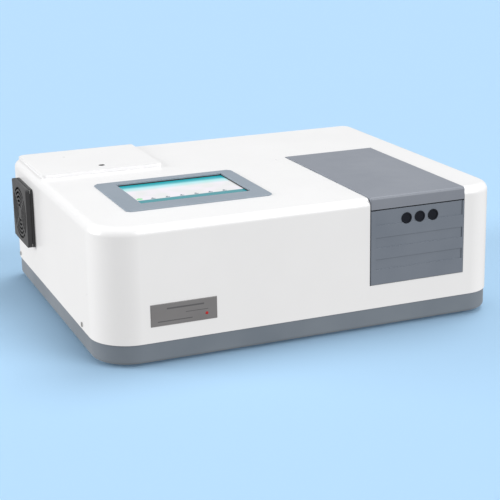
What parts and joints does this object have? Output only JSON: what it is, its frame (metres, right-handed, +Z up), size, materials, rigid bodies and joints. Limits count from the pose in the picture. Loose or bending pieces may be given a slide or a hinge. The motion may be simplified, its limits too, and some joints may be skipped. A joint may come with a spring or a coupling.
{
  "type": "spectrophotometer",
  "caption": "Bench double-beam spectrophotometer: rounded white case on a grey tray, touch screen, hinged sample lid, removable front panel with port plugs, side fan and lamp cover.",
  "frame": {"origin": "centre of the bounding box, on the bench top under the rubber feet", "axes": "+X to the right seen from the front, +Y towards the back, +Z up"},
  "size_m": [0.6126, 0.4912, 0.198],
  "materials": {
    "base_grey": "satin powder-coated casting",
    "housing_white": "semi-gloss moulded plastic",
    "lid_grey": "fine textured moulded plastic",
    "bezel_grey": "fine textured moulded plastic",
    "screen_glass": "bonded touch glass over a lit display",
    "label_silver": "brushed, anodised",
    "fan_black": "moulded, semi-matte",
    "filter_foam": "open-cell foam",
    "plug_black": "smooth",
    "rubber": "moulded",
    "steel": "zinc plated",
    "black_metal": "matt black anodised",
    "aluminium": "machined",
    "mirror": "aluminised front surface",
    "lamp_glass": "clear quartz",
    "socket_ceramic": "unglazed",
    "motor_black": "satin",
    "board_green": "solder mask",
    "switch_red": "polished",
    "brass": "plated"
  },
  "bodies": {
    "chassis": {"base_tray": "base_grey", "rubber_feet": "rubber", "housing": "housing_white", "housing_screws": "steel", "screen_bezel": "bezel_grey", "touch_glass": "screen_glass", "lcd_module": "black_metal", "nameplate": "label_silver", "guard_base_frame": "fan_black", "fan_grille": "fan_black", "dust_filter": "filter_foam", "fan_frame": "fan_black", "fan_screws": "steel", "hinge_brackets": "steel", "hinge_pins": "steel", "power_inlet": "fan_black", "inlet_pins": "brass", "usb_port": "steel", "optical_bench": "aluminium", "bench_isolators": "rubber", "sample_chamber": "black_metal", "beam_windows": "lamp_glass", "holder_base": "black_metal", "monochromator_case": "black_metal", "monochromator_cover": "black_metal", "slit_plates": "steel", "monochromator_mirrors": "mirror", "beam_mirrors": "mirror", "grating_motor": "motor_black", "drive_belt": "rubber", "filter_wheel_motor": "motor_black", "chopper_motor": "motor_black", "lamp_house": "aluminium", "lamp_sockets": "socket_ceramic", "deuterium_lamp": "lamp_glass", "tungsten_lamp": "lamp_glass", "lamp_mirror_motor": "motor_black", "detector_housing": "black_metal", "detectors": "steel", "power_supply": "steel", "main_board": "board_green"},
    "sample_lid": {"sample_lid": "lid_grey", "lid_seal": "rubber"},
    "front_panel": {"front_panel": "lid_grey"},
    "port_plug_left": {"port_plug_left": "plug_black"},
    "port_plug_middle": {"port_plug_middle": "plug_black"},
    "port_plug_right": {"port_plug_right": "plug_black"},
    "lamp_cover": {"lamp_cover": "housing_white"},
    "cover_screw": {"lamp_cover_screw": "steel"},
    "fan_rotor": {"fan_rotor": "fan_black"},
    "switch_rocker": {"switch_rocker": "switch_red"},
    "fuse_drawer": {"fuse_drawer": "fan_black"},
    "grating_turret": {"grating_turret": "aluminium", "grating": "mirror"},
    "motor_pulley": {"motor_pulley": "aluminium"},
    "lamp_mirror": {"lamp_mirror": "mirror"},
    "filter_wheel": {"filter_wheel": "black_metal"},
    "chopper_wheel": {"chopper_wheel": "mirror"},
    "sample_cell_holder": {"sample_cell_holder": "black_metal"},
    "reference_cell_holder": {"reference_cell_holder": "black_metal"}
  },
  "joints": [
    {"name": "lid_hinge", "type": "hinge", "parent": "chassis", "child": "sample_lid", "pos_m": [0.17265, 0.0423, 0.1878], "axis": [-1, 0, 0], "range_deg": [0, 95]},
    {"name": "front_panel_pull", "type": "slide", "parent": "chassis", "child": "front_panel", "axis": [0, -1, 0], "range_m": [0, 0.05]},
    {"name": "plug_left_pull", "type": "slide", "parent": "front_panel", "child": "port_plug_left", "axis": [0, -1, 0], "range_m": [0, 0.02]},
    {"name": "plug_middle_pull", "type": "slide", "parent": "front_panel", "child": "port_plug_middle", "axis": [0, -1, 0], "range_m": [0, 0.02]},
    {"name": "plug_right_pull", "type": "slide", "parent": "front_panel", "child": "port_plug_right", "axis": [0, -1, 0], "range_m": [0, 0.02]},
    {"name": "lamp_cover_lift", "type": "slide", "parent": "chassis", "child": "lamp_cover", "axis": [0, 0, 1], "range_m": [0, 0.06]},
    {"name": "cover_screw_turn", "type": "hinge", "parent": "lamp_cover", "child": "cover_screw", "pos_m": [-0.18525, 0.1046, 0.193], "axis": [0, 0, 1], "continuous": true},
    {"name": "fan_spin", "type": "hinge", "parent": "chassis", "child": "fan_rotor", "pos_m": [-0.29185, 0.1511, 0.125], "axis": [1, 0, 0], "continuous": true},
    {"name": "power_switch", "type": "hinge", "parent": "chassis", "child": "switch_rocker", "pos_m": [0.17015, 0.2386, 0.112], "axis": [1, 0, 0], "range_deg": [0, 16]},
    {"name": "fuse_drawer_pull", "type": "slide", "parent": "chassis", "child": "fuse_drawer", "axis": [0, 1, 0], "range_m": [0, 0.02]},
    {"name": "grating_turn", "type": "hinge", "parent": "chassis", "child": "grating_turret", "pos_m": [-0.12975, -0.0294, 0.105], "axis": [0, 0, 1], "range_deg": [-30, 30]},
    {"name": "grating_motor_turn", "type": "hinge", "parent": "chassis", "child": "motor_pulley", "pos_m": [-0.07775, 0.0186, 0.075], "axis": [0, 0, 1], "range_deg": [-95, 95]},
    {"name": "lamp_mirror_turn", "type": "hinge", "parent": "chassis", "child": "lamp_mirror", "pos_m": [-0.19475, 0.1026, 0.105], "axis": [0, 0, 1], "range_deg": [0, 90]},
    {"name": "filter_wheel_spin", "type": "hinge", "parent": "chassis", "child": "filter_wheel", "pos_m": [-0.17475, 0.0376, 0.105], "axis": [0, 1, 0], "continuous": true},
    {"name": "chopper_spin", "type": "hinge", "parent": "chassis", "child": "chopper_wheel", "pos_m": [0.02585, -0.0544, 0.09], "axis": [0.7071, 0.7071, 0], "continuous": true},
    {"name": "sample_holder_lift", "type": "slide", "parent": "chassis", "child": "sample_cell_holder", "axis": [0, 0, 1], "range_m": [0, 0.055]},
    {"name": "reference_holder_lift", "type": "slide", "parent": "chassis", "child": "reference_cell_holder", "axis": [0, 0, 1], "range_m": [0, 0.055]}
  ],
  "couplings": [
    {"joint": "grating_motor_turn", "follows": "grating_turn", "ratio": 3}
  ]
}
